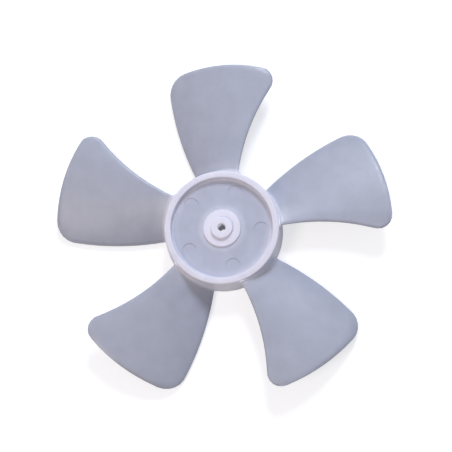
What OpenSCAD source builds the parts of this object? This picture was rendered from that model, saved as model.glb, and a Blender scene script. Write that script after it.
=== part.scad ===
// One-piece moulded fan blade for a small motor with a D-shaped shaft.
// Millimetres and degrees. The origin lies on the shaft's axis, in the plane of the hub's
// open rear edge, and +Z points to the side with the shallow front recess.
// Seen from the front the fan turns clockwise, so each blade's leading edge is its
// clockwise edge, which stands nearer the front than its trailing edge.

/* [Overall] */
// Diameter over the blade tips
fan_d = 145; // [130:1:165]
// Number of blades
blade_count = 5; // [3:1:6]
// Azimuth of the first blade's centre line
first_blade_angle = 18; // [0:1:71]

/* [Hub] */
// Depth of the hub from its open rear edge to its front rim
hub_depth = 14; // [13:0.5:20]
// Outer diameter of the hub at its front rim
hub_front_d = 49; // [44:0.5:56]
// How much the hub's outer radius grows from its front rim to its rear edge
hub_flare = 1; // [0.3:0.1:2]
// Width of the flat rim round the front recess
rim_width = 3; // [2.4:0.1:5]
// Depth of the front recess below the rim
recess_depth = 3; // [2:0.1:4]
// Thickness of the web that closes the hub
web_thickness = 2; // [1.4:0.1:3]
// Thickness of the hub's skirt at its rear edge
skirt_thickness = 2; // [1.4:0.1:3]
// Fillet inside the skirt and round the boss, behind the web
rear_fillet = 1.2; // [0.4:0.1:2]

/* [Boss] */
// Diameter of the boss where it stands on the web
boss_d = 16.2; // [13:0.2:22]
// Height of the boss's shoulder above the web
shoulder_height = 0.9; // [0.4:0.1:1.4]
// Diameter of the collar on the shoulder
collar_d = 9.2; // [7:0.2:12]
// Height of the collar above the shoulder
collar_height = 1.4; // [0.6:0.1:2]
// Taper of the boss's radius from the web to its rear end
boss_taper = 0.8; // [0.2:0.1:1.5]
// How far the boss's rear end lies inside the hub's rear edge
boss_setback = 0; // [0:0.1:3]

/* [Shaft bore] */
// Diameter of the round stretch that the shaft is pressed into
shaft_d = 3.17; // [2:0.01:5]
// Length of the D-shaped stretch at the front of the bore
d_length = 4.2; // [2:0.1:6]
// Distance from the axis to the flat, as a share of the shaft's radius
flat_share = 0.72; // [0.6:0.01:0.9]
// Direction that the flat lies in, seen from the front
flat_angle = 135; // [0:1:359]
// How much narrower than the shaft the D-shaped stretch is, across its round part
d_grip = 0.02; // [0:0.01:0.05]
// Width of the countersink at each end of the bore
mouth_chamfer = 0.4; // [0.2:0.05:0.8]

/* [Ejector marks] */
// Number of round marks that the mould's ejector pins leave on the web
mark_count = 5; // [3:1:8]
// Diameter of each mark
mark_d = 6.3; // [4:0.1:8]
// Diameter of the circle through the marks' centres
mark_circle_d = 33.5; // [28:0.5:38]
// Depth of each mark
mark_depth = 0.25; // [0.1:0.05:0.5]
// Azimuth of the first mark
mark_angle = -1.3; // [-36:0.1:36]

/* [Blade outline] */
// Angle from a blade's centre line to its leading edge at the hub
lead_root_angle = 16.2; // [8:0.1:20]
// Angle from a blade's centre line to its leading edge at the tip, before the corner is rounded
lead_tip_angle = 20.3; // [14:0.1:24]
// Radius of the hollow arc of the leading edge
lead_edge_r = 87; // [60:1:300]
// Radius of the leading corner at the tip
lead_corner_r = 5.9; // [3:0.1:8]
// Angle from a blade's centre line to its trailing edge at the hub
trail_root_angle = 27.4; // [18:0.1:32]
// Angle from a blade's centre line to its trailing edge at the tip, before the corner is rounded
trail_tip_angle = 20.2; // [14:0.1:24]
// Radius of the crowned arc of the trailing edge
trail_edge_r = 120; // [80:1:300]
// Radius of the trailing corner at the tip
trail_corner_r = 8.8; // [4:0.1:10]

/* [Blade section] */
// Pitch of the blade's chord at the hub
root_pitch = 29; // [15:0.5:30]
// Pitch of the blade's chord at the tip
tip_pitch = 11.5; // [5:0.5:20]
// Height of the trailing edge's middle line above the hub's rear edge, at the hub
trail_root_height = 1.8; // [1.5:0.1:4]
// Height of the trailing edge's middle line above the hub's rear edge, at the tip
trail_tip_height = 1.6; // [1.3:0.1:4]
// Rise of the blade's camber line above its chord, as a share of the chord
camber = 0.07; // [0:0.005:0.1]
// Thickness of the blade
blade_thickness = 1.8; // [1.2:0.1:3]
// Width over which the blade thins to a rounded edge
edge_round = 1.4; // [0.6:0.1:3]
// Fillet between the blade and the hub
root_fillet = 1; // [0.4:0.1:1.5]

/* [Hidden] */
$fn = 96;

// Radii and heights of the hub
tip_r = fan_d / 2;
rim_r = hub_front_d / 2;
recess_r = rim_r - rim_width;
web_top = hub_depth - recess_depth;
web_bottom = web_top - web_thickness;
skirt_inner_r = rim_r + hub_flare - skirt_thickness;
shoulder_top = web_top + shoulder_height;
collar_top = shoulder_top + collar_height;
boss_rear_r = boss_d / 2 - boss_taper;

// Small moulded radii and drafts of the hub
rim_edge_r = 0.5;
corner_r = 0.4;
wall_draft = 0.25;
cavity_draft = 0.6;

// Heights along the bore, and the taper that leads the shaft's flat into its seat
bore_overrun = 1;
d_lead_in = 0.7;
d_top = collar_top - mouth_chamfer;
d_bottom = d_top - d_length;

// The blade's mesh: how many rows run from hub to tip and how many columns from edge to edge
span_rows = 10;
corner_rows = 6;
edge_columns = 3;
middle_columns = 8;
// How far a blade's root is buried in the skirt
root_bury = 1.1;

// Point at radius r and angle a
function polar(r, a) = [r * cos(a), r * sin(a)];

// Direction of a plane vector
function heading(v) = atan2(v[1], v[0]);

// Quarter-circle arc about c, from angle a0 to a1, that rounds a corner of a profile
function arc(c, r, a0, a1, steps = 4) =
    [for (i = [0 : steps]) c + polar(r, a0 + (a1 - a0) * i / steps)];

// Centre of the arc of radius r through p and q, on the right-hand side of the way from p to q
function arc_centre(p, q, r) =
    let (half = norm(q - p) / 2, across = heading(q - p) - 90)
    (p + q) / 2 + polar(sqrt(r * r - half * half), across);

// Angle between the centre of a circle and its point at radius r from the axis, where the
// circle has radius rc and its centre lies at distance d from the axis
function circle_angle(r, d, rc) = acos(max(-1, min(1, (r * r + d * d - rc * rc) / (2 * r * d))));

// The leading edge is hollow, so its arc is centred outside the blade. The trailing edge is
// crowned, so its arc is centred on the blade's side.
lead_c = arc_centre(polar(rim_r, -lead_root_angle), polar(tip_r, -lead_tip_angle), lead_edge_r);
trail_c = arc_centre(polar(rim_r, trail_root_angle), polar(tip_r, trail_tip_angle), trail_edge_r);

// Centre of the rounded corner between an edge's arc and the tip's circle: it lies corner_r
// inside the tip and side * corner_r from the edge's arc
function corner_centre(c, edge_r, corner_r, side) =
    let (reach = tip_r - corner_r)
    polar(reach, heading(c) + circle_angle(reach, norm(c), edge_r + side * corner_r));
lead_corner = corner_centre(lead_c, lead_edge_r, lead_corner_r, 1);
trail_corner = corner_centre(trail_c, trail_edge_r, trail_corner_r, -1);

// Radius at which an edge's arc runs into its corner
function corner_start(c, edge_r, corner) = norm(c + edge_r * (corner - c) / norm(corner - c));
lead_corner_start = corner_start(lead_c, lead_edge_r, lead_corner);
trail_corner_start = corner_start(trail_c, trail_edge_r, trail_corner);

// Angles of the two edges at radius r
function lead_angle(r) = r < lead_corner_start
    ? heading(lead_c) + circle_angle(r, norm(lead_c), lead_edge_r)
    : heading(lead_corner) - circle_angle(r, tip_r - lead_corner_r, lead_corner_r);
function trail_angle(r) = r < trail_corner_start
    ? heading(trail_c) + circle_angle(r, norm(trail_c), trail_edge_r)
    : heading(trail_corner) + circle_angle(r, tip_r - trail_corner_r, trail_corner_r);

// Share of the way from hub to tip at radius r
function span_share(r) = (r - rim_r) / (tip_r - rim_r);

// The chord's rise per degree of arc is a screw whose lead changes evenly from hub to tip
function screw(r) =
    let (root = rim_r * tan(root_pitch), tip = tip_r * tan(tip_pitch))
    (root + (tip - root) * span_share(r)) * PI / 180;

// Unrounded chord angle at radius r, so that a rounded corner doesn't change the pitch
function full_trail_angle(r) = heading(trail_c) + circle_angle(r, norm(trail_c), trail_edge_r);
function full_lead_angle(r) = heading(lead_c) + circle_angle(r, norm(lead_c), lead_edge_r);

// Height of the blade's middle surface at radius r and angle a
function middle_z(r, a) =
    let (
        trail = full_trail_angle(r),
        wide = trail - full_lead_angle(r),
        share = (trail - a) / wide,
        chord = r * wide * PI / 180,
        base = trail_root_height + (trail_tip_height - trail_root_height) * span_share(r)
    )
    base + screw(r) * (trail - a) + camber * chord * 4 * share * (1 - share);

// Distance from a point of the blade to its outline, away from the root
function rim_distance(p) =
    let (
        to_tip = tip_r - norm(p),
        to_lead = norm(p - lead_c) - lead_edge_r,
        to_trail = trail_edge_r - norm(p - trail_c),
        lead_end = to_tip < lead_corner_r && to_lead < lead_corner_r
            ? lead_corner_r - norm(p - lead_corner) : tip_r,
        trail_end = to_tip < trail_corner_r && to_trail < trail_corner_r
            ? trail_corner_r - norm(p - trail_corner) : tip_r
    )
    max(0, min(to_tip, to_lead, to_trail, lead_end, trail_end));

// Share of the full thickness at a distance from the outline: a quarter ellipse
function edge_share(d) = sqrt(1 - pow(1 - min(1, d / edge_round), 2));

// What a fillet adds at a distance d from the hub's wall
function fillet_add(d) =
    let (x = min(root_fillet, max(0, d)))
    root_fillet - sqrt(root_fillet * root_fillet - pow(root_fillet - x, 2));

// Half of the blade's thickness, measured upright, at radius r and angle a
function half_thickness(r, a) =
    let (slope = atan(screw(r) * 180 / PI / r))
    blade_thickness / 2 * edge_share(rim_distance(polar(r, a))) / cos(slope);

// Radii of the rows: inside the skirt, up the fillet, along the blade and round its corners
root_r = rim_r + hub_flare / 2;
fillet_rows = [-root_bury, 0, 0.2 * root_fillet, 0.5 * root_fillet, root_fillet];
corner_base = tip_r - max(lead_corner_r, trail_corner_r);
rows = concat(
    [for (d = fillet_rows) root_r + d],
    [for (i = [1 : span_rows]) root_r + root_fillet + (corner_base - root_r - root_fillet) * i / span_rows],
    [for (i = [1 : corner_rows]) corner_base + (tip_r - corner_base) * sin(90 * i / corner_rows)]
);
row_count = len(rows);

// Places of the columns at radius r, as angles from the leading to the trailing edge:
// close together on the rounded edges and even between them
function columns(r) =
    let (
        a0 = lead_angle(r),
        a1 = trail_angle(r),
        edge = edge_round / r * 180 / PI,
        left = [for (i = [0 : edge_columns - 1]) a0 + edge * (1 - cos(90 * i / edge_columns))],
        right = [for (i = [0 : edge_columns - 1]) a1 - edge * (1 - cos(90 * i / edge_columns))]
    )
    concat(
        left,
        [for (i = [0 : middle_columns]) a0 + edge + (a1 - a0 - 2 * edge) * i / middle_columns],
        [for (i = [edge_columns - 1 : -1 : 0]) right[i]]
    );
column_count = 2 * edge_columns + middle_columns + 1;

// A blade's cross-section at radius r: its upper side from the leading to the trailing edge
// and its lower side back again. The fillet widens and thickens it all round at the hub.
function section(r) =
    let (
        list = columns(r),
        last = column_count - 1,
        grow = fillet_add(r - root_r),
        spread = grow / r * 180 / PI,
        place = function (i, side)
            let (
                a = list[i],
                out = 2 * i / last - 1,
                upright = grow * sqrt(max(0, 1 - pow(out, 8)))
            )
            [
                r * cos(a + out * spread),
                r * sin(a + out * spread),
                middle_z(r, a) + side * (half_thickness(r, a) + upright)
            ]
    )
    concat(
        [for (i = [0 : last]) place(i, 1)],
        [for (i = [last - 1 : -1 : 1]) place(i, -1)]
    );
loop_count = 2 * column_count - 2;

// The last row is the tip's edge itself, where the two sides meet in one line
function tip_line() =
    [for (a = columns(tip_r)) [tip_r * cos(a), tip_r * sin(a), middle_z(tip_r, a)]];

// One blade with its centre line along +X
module blade() {
    loops = row_count - 1;
    points = concat([for (i = [0 : loops - 1]) each section(rows[i])], tip_line());
    tip_start = loops * loop_count;
    last = column_count - 1;
    root_cap = [
        for (j = [0 : last - 1])
            let (near = (loop_count - j) % loop_count, next = loop_count - j - 1)
            each j == 0 ? [[0, next, 1]]
                : j == last - 1 ? [[j, near, last]]
                : [[j, next, j + 1], [j, near, next]]
    ];
    skin = [
        for (i = [0 : loops - 2], j = [0 : loop_count - 1])
            let (
                a = i * loop_count + j,
                b = i * loop_count + (j + 1) % loop_count,
                c = b + loop_count,
                d = a + loop_count
            )
            each [[a, c, d], [a, b, c]]
    ];
    base = (loops - 1) * loop_count;
    tip_top = [
        for (j = [0 : last - 1])
            let (a = base + j, b = tip_start + j)
            each j == 0
                ? [[a, a + 1, b], [a + 1, b + 1, b]]
                : [[a, b + 1, b], [a, a + 1, b + 1]]
    ];
    tip_bottom = [
        for (j = [0 : last - 1])
            let (
                a = base + (loop_count - j) % loop_count,
                next = base + loop_count - j - 1,
                b = tip_start + j
            )
            each j == 0
                ? [[a, b, next], [next, b, b + 1]]
                : [[a, b, b + 1], [a, b + 1, next]]
    ];
    polyhedron(points, concat(root_cap, skin, tip_top, tip_bottom), convexity = 6);
}

// Hub turned from one profile: skirt, rim, web and stepped boss, still without its bore
module hub() {
    front = concat(
        arc([rim_r - rim_edge_r, hub_depth - rim_edge_r], rim_edge_r, 0, 90),
        arc([recess_r + wall_draft + corner_r, hub_depth - corner_r], corner_r, 90, 180),
        arc([recess_r - corner_r, web_top + corner_r], corner_r, 0, -90),
        arc([boss_d / 2 + corner_r, web_top + corner_r], corner_r, 270, 180),
        arc([boss_d / 2 - corner_r, shoulder_top - corner_r], corner_r, 0, 90),
        [[collar_d / 2 + wall_draft, shoulder_top]],
        arc([collar_d / 2 - corner_r, collar_top - corner_r], corner_r, 0, 90)
    );
    rear = concat(
        [[boss_rear_r, boss_setback]],
        arc([boss_d / 2 + rear_fillet, web_bottom - rear_fillet], rear_fillet, 180, 90),
        arc([skirt_inner_r - cavity_draft - rear_fillet, web_bottom - rear_fillet], rear_fillet, 90, 0),
        [[skirt_inner_r, 0], [rim_r + hub_flare, 0]]
    );
    rotate_extrude()
        polygon(concat([[0, collar_top], [0, boss_setback]], rear, front));
}

// Shallow round marks that the mould's ejector pins leave on the web, one between two blades
module ejector_marks() {
    for (i = [0 : mark_count - 1])
        rotate(mark_angle + 360 * i / mark_count)
            translate([mark_circle_d / 2, 0, web_top - mark_depth])
                cylinder(d = mark_d, h = mark_depth + bore_overrun);
}

// Space for the shaft: a round stretch entered from the rear, then a D-shaped stretch that
// takes the shaft's flat, with a countersink at each end
module shaft_bore() {
    shaft_r = shaft_d / 2;
    grip_r = shaft_r - d_grip / 2;
    translate([0, 0, boss_setback])
        cylinder(r = shaft_r, h = d_bottom - d_lead_in - boss_setback);
    translate([0, 0, d_bottom - d_lead_in])
        cylinder(r1 = shaft_r, r2 = grip_r, h = d_lead_in);
    difference() {
        translate([0, 0, d_bottom])
            cylinder(r = grip_r, h = d_top - d_bottom);
        rotate(flat_angle)
            translate([shaft_r * flat_share, -shaft_d, d_bottom])
                cube([shaft_d, 2 * shaft_d, d_length - mouth_chamfer]);
    }
    translate([0, 0, d_top])
        cylinder(r1 = grip_r, r2 = grip_r + mouth_chamfer, h = mouth_chamfer);
    translate([0, 0, collar_top])
        cylinder(r = grip_r + mouth_chamfer, h = bore_overrun);
    translate([0, 0, boss_setback])
        cylinder(r1 = shaft_r + mouth_chamfer, r2 = shaft_r, h = mouth_chamfer);
    translate([0, 0, boss_setback - bore_overrun])
        cylinder(r = shaft_r + mouth_chamfer, h = bore_overrun);
}

// The whole moulding
module fan_blade() {
    color([0.80, 0.83, 0.88])
        difference() {
            union() {
                hub();
                for (i = [0 : blade_count - 1])
                    rotate(first_blade_angle + 360 * i / blade_count)
                        blade();
            }
            ejector_marks();
            shaft_bore();
        }
}

fan_blade();
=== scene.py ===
"""Looks of a one-piece moulded fan blade: milky polypropylene, five twisted blades round a dished hub.

Metres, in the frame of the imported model: the origin lies on the shaft's axis in the plane of the
hub's open rear edge, and +Z points to the front side with the shallow recess.
"""

import logging
import math
from dataclasses import dataclass
from enum import Enum
from typing import Any

import bpy
from mathutils import Matrix, Vector

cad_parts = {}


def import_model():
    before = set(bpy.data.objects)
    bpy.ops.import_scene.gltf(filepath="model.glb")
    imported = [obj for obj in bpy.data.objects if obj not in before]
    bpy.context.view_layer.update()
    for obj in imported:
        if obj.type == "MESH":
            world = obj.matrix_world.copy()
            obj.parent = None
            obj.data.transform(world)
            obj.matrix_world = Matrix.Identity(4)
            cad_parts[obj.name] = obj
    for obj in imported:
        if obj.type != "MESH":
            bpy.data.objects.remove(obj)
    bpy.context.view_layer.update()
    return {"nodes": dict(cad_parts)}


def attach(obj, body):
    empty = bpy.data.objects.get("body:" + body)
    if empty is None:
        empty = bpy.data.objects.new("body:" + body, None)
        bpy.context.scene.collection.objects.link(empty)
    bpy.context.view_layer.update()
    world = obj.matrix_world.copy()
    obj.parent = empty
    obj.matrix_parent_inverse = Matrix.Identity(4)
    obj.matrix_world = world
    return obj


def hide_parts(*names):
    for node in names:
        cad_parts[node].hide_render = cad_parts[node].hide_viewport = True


LOG = logging.getLogger("fan_blade")
MM = 0.001


class Finish(Enum):
    """The finishes of the scene, by the name of their material."""

    MOULDING = "milky_polypropylene_moulded"
    TABLE = "matt_white_table"


def srgb(hex_code: str) -> tuple[float, float, float, float]:
    """Turn an sRGB hex colour into linear light.

    Args:
        hex_code: Six hex digits, such as "c8ccd8".

    Returns:
        Red, green, blue and an alpha of 1, as a shader socket takes them.
    """
    parts = [int(hex_code[i : i + 2], 16) / 255 for i in (0, 2, 4)]
    linear = [c / 12.92 if c <= 0.04045 else ((c + 0.055) / 1.055) ** 2.4 for c in parts]
    return (*linear, 1.0)


def add_node(
    tree: bpy.types.NodeTree,
    kind: str,
    settings: dict[str, Any] | None = None,
    values: dict[Any, Any] | None = None,
    links: dict[Any, bpy.types.NodeSocket] | None = None,
) -> bpy.types.Node:
    """Add one node to a tree, with its settings, socket values and incoming links.

    Args:
        tree: The node tree that takes the node.
        kind: The node's type, such as "ShaderNodeTexNoise".
        settings: Attributes of the node itself.
        values: Default values of its inputs, by name or index.
        links: Output sockets that feed its inputs, by name or index.

    Returns:
        The new node.
    """
    node = tree.nodes.new(kind)
    for name, value in (settings or {}).items():
        setattr(node, name, value)
    for key, value in (values or {}).items():
        node.inputs[key].default_value = value
    for key, socket in (links or {}).items():
        tree.links.new(socket, node.inputs[key])
    return node


def new_material(finish: Finish) -> tuple[bpy.types.Material, bpy.types.NodeTree]:
    """Make an empty node material.

    Args:
        finish: The finish that names it.

    Returns:
        The material and its node tree.
    """
    material = bpy.data.materials.new(finish.value)
    material.use_nodes = True
    material.node_tree.nodes.clear()
    return material, material.node_tree


@dataclass(frozen=True)
class Mottle:
    """A noise pattern that follows Object coordinates."""

    size_mm: float
    detail: float
    roughness: float

    def build(self, tree: bpy.types.NodeTree, place: bpy.types.NodeSocket) -> bpy.types.NodeSocket:
        """Add the pattern to a material.

        Args:
            tree: The material's node tree.
            place: Object coordinates.

        Returns:
            The pattern's height, from 0 to 1.
        """
        noise = add_node(
            tree,
            "ShaderNodeTexNoise",
            values={
                "Scale": 1 / (self.size_mm * MM),
                "Detail": self.detail,
                "Roughness": self.roughness,
            },
            links={"Vector": place},
        )
        return noise.outputs["Fac"]


def swing(
    tree: bpy.types.NodeTree,
    height: bpy.types.NodeSocket,
    reach: float,
    middle: float,
    share: float,
) -> bpy.types.NodeSocket:
    """Swing a value about its middle with a pattern.

    Args:
        tree: The material's node tree.
        height: The pattern's height, mostly within reach of 0.5.
        reach: How far from 0.5 the height goes for the full swing.
        middle: The value at a height of 0.5.
        share: How far the value swings to each side.

    Returns:
        The value.
    """
    node = add_node(
        tree,
        "ShaderNodeMapRange",
        values={
            "From Min": 0.5 - reach,
            "From Max": 0.5 + reach,
            "To Min": middle - share,
            "To Max": middle + share,
        },
        links={"Value": height},
    )
    return node.outputs["Result"]


@dataclass(frozen=True)
class MilkyPolypropylene:
    """Natural polypropylene, injection moulded and unpainted.

    It is translucent and milky, and its colour has light and shade painted in by distance from the
    axis:
    thick sections such as the rim and the boss are painted nearly white, a painted glow for the light
    they scatter, and thin ones such as the web and the blades are painted greyer, a painted shade for
    what shows through them.
    """

    # Distance from the axis in mm, and the colour painted there for a section of that thickness: a
    # painted glow where the moulding is thick and a painted see-through shade where it is thin
    painted_light_bands: tuple[tuple[float, str], ...] = (
        (0.0, "e4e4f0"),
        (7.6, "e0e0ee"),
        (8.7, "c4c8d8"),
        (11.0, "b4b9cb"),
        (18.0, "b4b9cb"),
        (20.4, "c0c4d4"),
        (21.3, "dcdce9"),
        (25.2, "dcdce9"),
        (26.4, "b4b8c6"),
        (31.0, "aaafbf"),
        (72.5, "a9aebd"),
    )
    # Polypropylene's index is 1.49, and a moulded, handled surface is satin
    ior: float = 1.49
    roughness: float = 0.42
    scatter_share: float = 0.35
    scatter_reach: float = 1.5 * MM
    # Cloudiness of the melt, about 7 mm across, which lightens and darkens the colour a little
    cloud: Mottle = Mottle(7.0, 3.0, 0.55)
    cloud_reach: float = 0.2
    cloud_share: float = 0.045
    # Scuffs from handling, about 0.8 mm across, drawn as coarse as they need to show
    scuffs: Mottle = Mottle(0.8, 4.0, 0.75)
    scuff_reach: float = 0.15
    scuff_gloss: float = 0.09
    scuff_strength: float = 0.25
    scuff_height: float = 0.03 * MM
    # Moulding grain, about 0.35 mm
    grain: Mottle = Mottle(0.35, 2.0, 0.6)
    grain_strength: float = 0.12
    grain_height: float = 0.02 * MM

    def painted_section_light(
        self, tree: bpy.types.NodeTree, place: bpy.types.NodeSocket
    ) -> bpy.types.NodeSocket:
        """Paint light and shade on the moulding by its distance from the axis: a painted glow on thick
        sections and a painted see-through shade on thin ones.

        Args:
            tree: The material's node tree.
            place: Object coordinates.

        Returns:
            The colour, with the painted glow and shade.
        """
        axes = add_node(tree, "ShaderNodeSeparateXYZ", links={0: place})
        flat = add_node(
            tree, "ShaderNodeCombineXYZ", links={"X": axes.outputs["X"], "Y": axes.outputs["Y"]}
        )
        radius = add_node(
            tree, "ShaderNodeVectorMath", {"operation": "LENGTH"}, links={0: flat.outputs[0]}
        )
        widest = self.painted_light_bands[-1][0]
        share = add_node(
            tree,
            "ShaderNodeMath",
            {"operation": "DIVIDE"},
            {1: widest * MM},
            {0: radius.outputs["Value"]},
        )
        ramp = add_node(tree, "ShaderNodeValToRGB", links={0: share.outputs[0]})
        stops = ramp.color_ramp.elements
        for index, (distance, colour) in enumerate(self.painted_light_bands):
            # A new ramp already has two stops
            if index < 2:
                stop = stops[index]
                stop.position = distance / widest
            else:
                stop = stops.new(distance / widest)
            stop.color = srgb(colour)
        return ramp.outputs["Color"]

    def surface(
        self,
        tree: bpy.types.NodeTree,
        place: bpy.types.NodeSocket,
        scuffs: bpy.types.NodeSocket,
    ) -> bpy.types.NodeSocket:
        """Roughen the surface with moulding grain and, over it, scuffs.

        Args:
            tree: The material's node tree.
            place: Object coordinates.
            scuffs: Height of the scuff pattern.

        Returns:
            The surface's normal.
        """
        grained = add_node(
            tree,
            "ShaderNodeBump",
            values={"Strength": self.grain_strength, "Distance": self.grain_height},
            links={"Height": self.grain.build(tree, place)},
        )
        scuffed = add_node(
            tree,
            "ShaderNodeBump",
            values={"Strength": self.scuff_strength, "Distance": self.scuff_height},
            links={"Height": scuffs, "Normal": grained.outputs["Normal"]},
        )
        return scuffed.outputs["Normal"]

    def build(self) -> bpy.types.Material:
        """Make the material.

        Returns:
            A material whose colour and gloss follow Object coordinates.
        """
        material, tree = new_material(Finish.MOULDING)
        place = add_node(tree, "ShaderNodeTexCoord").outputs["Object"]
        clouding = swing(
            tree, self.cloud.build(tree, place), self.cloud_reach, 1.0, self.cloud_share
        )
        # The painted glow and see-through shade of the sections, lightened and darkened a little by
        # the melt's cloudiness
        colour = add_node(
            tree,
            "ShaderNodeVectorMath",
            {"operation": "SCALE"},
            links={0: self.painted_section_light(tree, place), "Scale": clouding},
        )
        scuffs = self.scuffs.build(tree, place)
        shader = add_node(
            tree,
            "ShaderNodeBsdfPrincipled",
            values={
                "IOR": self.ior,
                "Subsurface Weight": self.scatter_share,
                "Subsurface Radius": (1.0, 1.0, 1.0),
                "Subsurface Scale": self.scatter_reach,
            },
            links={
                "Base Color": colour.outputs["Vector"],
                "Roughness": swing(
                    tree, scuffs, self.scuff_reach, self.roughness, self.scuff_gloss
                ),
                "Normal": self.surface(tree, place, scuffs),
            },
        )
        add_node(tree, "ShaderNodeOutputMaterial", links={"Surface": shader.outputs[0]})
        return material


@dataclass(frozen=True)
class MattTable:
    """Matt white board under the fan: the camera and reflections see it white, with its shadow."""

    colour: str = "c4c6cc"
    # Light that only the camera and reflections see, which lifts the lit board to white
    seen_glow: float = 0.62

    def seen(self, tree: bpy.types.NodeTree) -> bpy.types.NodeSocket:
        """Tell the rays that see the board white from those that light the fan.

        Args:
            tree: The material's node tree.

        Returns:
            1 for camera, glossy and transmission rays, and 0 for the rest.
        """
        path = add_node(tree, "ShaderNodeLightPath")
        direct = add_node(
            tree,
            "ShaderNodeMath",
            {"operation": "MAXIMUM"},
            links={0: path.outputs["Is Camera Ray"], 1: path.outputs["Is Glossy Ray"]},
        )
        any_of_them = add_node(
            tree,
            "ShaderNodeMath",
            {"operation": "MAXIMUM"},
            links={0: direct.outputs[0], 1: path.outputs["Is Transmission Ray"]},
        )
        return any_of_them.outputs[0]

    def build(self) -> bpy.types.Material:
        """Make the material.

        Returns:
            A material that keeps the object's shadow and is white to the camera.
        """
        material, tree = new_material(Finish.TABLE)
        board = add_node(tree, "ShaderNodeBsdfDiffuse", values={"Color": srgb(self.colour)})
        glow = add_node(tree, "ShaderNodeEmission", values={"Strength": self.seen_glow})
        both = add_node(
            tree, "ShaderNodeAddShader", links={0: board.outputs[0], 1: glow.outputs[0]}
        )
        mix = add_node(
            tree,
            "ShaderNodeMixShader",
            links={0: self.seen(tree), 1: board.outputs[0], 2: both.outputs[0]},
        )
        add_node(tree, "ShaderNodeOutputMaterial", links={"Surface": mix.outputs[0]})
        return material


@dataclass
class Moulding:
    """The fan itself: one moulding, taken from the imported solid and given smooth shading."""

    node: str = "fan_blade"
    piece_name: str = "moulded_fan"
    weld: float = 0.002 * MM
    crease_degrees: float = 38.0

    def build(self, cad: bpy.types.Object) -> bpy.types.Object:
        """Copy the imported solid, merge its loose triangles and shade it smooth.

        Args:
            cad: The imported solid's object, which stays as it is.

        Returns:
            The new piece, at the origin, with its place in its mesh.
        """
        bpy.ops.object.select_all(action="DESELECT")
        piece = cad.copy()
        piece.data = cad.data.copy()
        piece.name = self.piece_name
        piece.parent = None
        for key in list(piece.keys()):
            del piece[key]
        bpy.context.collection.objects.link(piece)
        piece.select_set(True)
        bpy.context.view_layer.objects.active = piece
        bpy.ops.object.mode_set(mode="EDIT")
        bpy.ops.mesh.select_all(action="SELECT")
        bpy.ops.mesh.customdata_custom_splitnormals_clear()
        bpy.ops.mesh.remove_doubles(threshold=self.weld)
        bpy.ops.mesh.normals_make_consistent(inside=False)
        bpy.ops.object.mode_set(mode="OBJECT")
        bpy.ops.object.shade_smooth_by_angle(angle=math.radians(self.crease_degrees))
        return piece

    def dress(self, piece: bpy.types.Object, finish: bpy.types.Material) -> None:
        """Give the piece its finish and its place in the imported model.

        Args:
            piece: The piece to dress.
            finish: Its material.
        """
        piece.data.materials.clear()
        piece.data.materials.append(finish)
        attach(piece, "root")
        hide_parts(self.node)


@dataclass
class ProductCamera:
    """The photograph's camera: far off, a little below and to the right of the fan's axis."""

    aim: tuple[float, float, float] = (0.0, 0.0, 14 * MM)
    distance: float = 0.700
    tilt_down_degrees: float = 10.95
    tilt_side_degrees: float = 4.89
    roll_degrees: float = -0.34
    focal_pixels: float = 1649.2
    frame_pixels: int = 452
    # Where the aim lands in the frame, in pixels from its left and top edges
    aim_pixels: tuple[float, float] = (221.39, 227.05)
    # Width of a full-frame sensor, in the millimetres that Blender's lens settings take
    sensor_width: float = 36.0
    # Nearest and farthest distance that the camera sees
    clip: tuple[float, float] = (0.01, 20.0)

    def lens(self) -> bpy.types.Camera:
        """Make the lens, with the shift that the photograph's framing needs.

        Returns:
            The camera's data.
        """
        data = bpy.data.cameras.new("product_camera")
        data.sensor_width = self.sensor_width
        data.lens = data.sensor_width * self.focal_pixels / self.frame_pixels
        middle = self.frame_pixels / 2
        data.shift_x = (middle - self.aim_pixels[0]) / self.frame_pixels
        data.shift_y = (self.aim_pixels[1] - middle) / self.frame_pixels
        data.clip_start, data.clip_end = self.clip
        return data

    def build(self) -> bpy.types.Object:
        """Make the camera and give it to the scene.

        Returns:
            The camera's object.
        """
        camera = bpy.data.objects.new("product_camera", self.lens())
        down = math.radians(-self.tilt_down_degrees)
        side = math.radians(-self.tilt_side_degrees)
        right = Vector(
            (math.cos(side), math.sin(down) * math.sin(side), math.cos(down) * math.sin(side))
        )
        up = Vector((0.0, math.cos(down), -math.sin(down)))
        back = right.cross(up)
        turned = Matrix.Rotation(math.radians(self.roll_degrees), 3, "Z") @ Matrix(
            (right, up, back)
        ).transposed()
        camera.matrix_world = Matrix.Translation(
            Vector(self.aim) + turned @ Vector((0, 0, self.distance))
        ) @ turned.to_4x4()
        bpy.context.scene.collection.objects.link(camera)
        bpy.context.scene.camera = camera
        return camera


@dataclass(frozen=True)
class Lamp:
    """A soft disk lamp that points at the fan, placed by angles in degrees."""

    name: str
    azimuth: float
    elevation: float
    distance: float
    size: float
    watts: float
    colour: str

    def build(self) -> bpy.types.Object:
        """Make the lamp.

        Returns:
            The lamp's object.
        """
        data = bpy.data.lights.new(self.name, "AREA")
        data.shape = "DISK"
        data.size = self.size
        data.energy = self.watts
        data.color = srgb(self.colour)[:3]
        lamp = bpy.data.objects.new(self.name, data)
        turn, rise = math.radians(self.azimuth), math.radians(self.elevation)
        way = Vector(
            (math.cos(turn) * math.cos(rise), math.sin(turn) * math.cos(rise), math.sin(rise))
        )
        lamp.location = way * self.distance
        lamp.rotation_mode = "QUATERNION"
        lamp.rotation_quaternion = way.to_track_quat("Z", "Y")
        bpy.context.scene.collection.objects.link(lamp)
        return lamp


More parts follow.
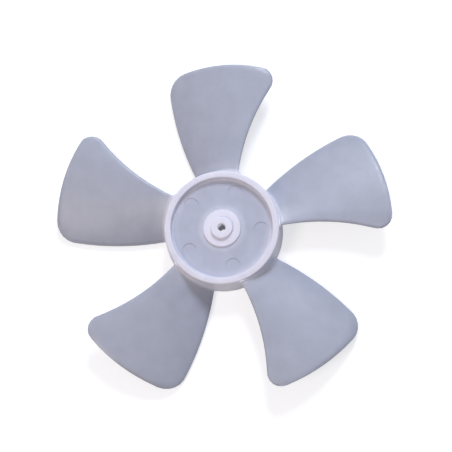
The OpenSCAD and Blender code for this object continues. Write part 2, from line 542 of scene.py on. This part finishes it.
@dataclass(frozen=True)
class Studio:
    """Pale table, soft lamps and an even room light."""

    table_size: float = 3.0
    # Gap below the fan, so that the table and the hub's rear edge don't share a plane
    table_gap: float = 0.2 * MM
    room_colour: str = "dfe2ea"
    room_strength: float = 0.45
    lamps: tuple[Lamp, ...] = (
        Lamp("key_softbox", 77, 45, 0.9, 0.30, 5.5, "eef3ff"),
        Lamp("warm_fill", 221, 52, 0.9, 0.35, 2.6, "ffe9d6"),
    )

    def lay_table(self) -> None:
        """Lay the table under the fan."""
        bpy.ops.object.select_all(action="DESELECT")
        bpy.ops.mesh.primitive_plane_add(size=self.table_size, location=(0, 0, -self.table_gap))
        table = bpy.context.active_object
        table.name = "table"
        table.data.materials.append(MattTable().build())

    def light_room(self) -> None:
        """Light the room evenly, and show it white to the camera."""
        world = bpy.data.worlds.new("room")
        world.use_nodes = True
        bpy.context.scene.world = world
        tree = world.node_tree
        tree.nodes.clear()
        path = add_node(tree, "ShaderNodeLightPath")
        room = add_node(
            tree,
            "ShaderNodeBackground",
            values={"Color": srgb(self.room_colour), "Strength": self.room_strength},
        )
        seen = add_node(tree, "ShaderNodeBackground", values={"Color": (1, 1, 1, 1)})
        mix = add_node(
            tree,
            "ShaderNodeMixShader",
            links={
                0: path.outputs["Is Camera Ray"],
                1: room.outputs[0],
                2: seen.outputs[0],
            },
        )
        add_node(tree, "ShaderNodeOutputWorld", links={"Surface": mix.outputs[0]})

    def build(self) -> None:
        """Make the table, the room light and the lamps."""
        self.lay_table()
        self.light_room()
        for lamp in self.lamps:
            lamp.build()


def main() -> None:
    """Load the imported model, dress it, and set up the camera and the studio."""
    logging.basicConfig(level=logging.INFO, format="%(name)s: %(message)s")
    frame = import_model()
    bpy.context.scene.view_settings.view_transform = "Standard"
    ProductCamera().build()
    moulding = Moulding()
    piece = moulding.build(frame["nodes"][moulding.node])
    moulding.dress(piece, MilkyPolypropylene().build())
    LOG.info("%s: %d faces", piece.name, len(piece.data.polygons))
    studio = Studio()
    studio.build()
    LOG.info("studio: table, %d lamps", len(studio.lamps))


if __name__ == "__main__":
    main()
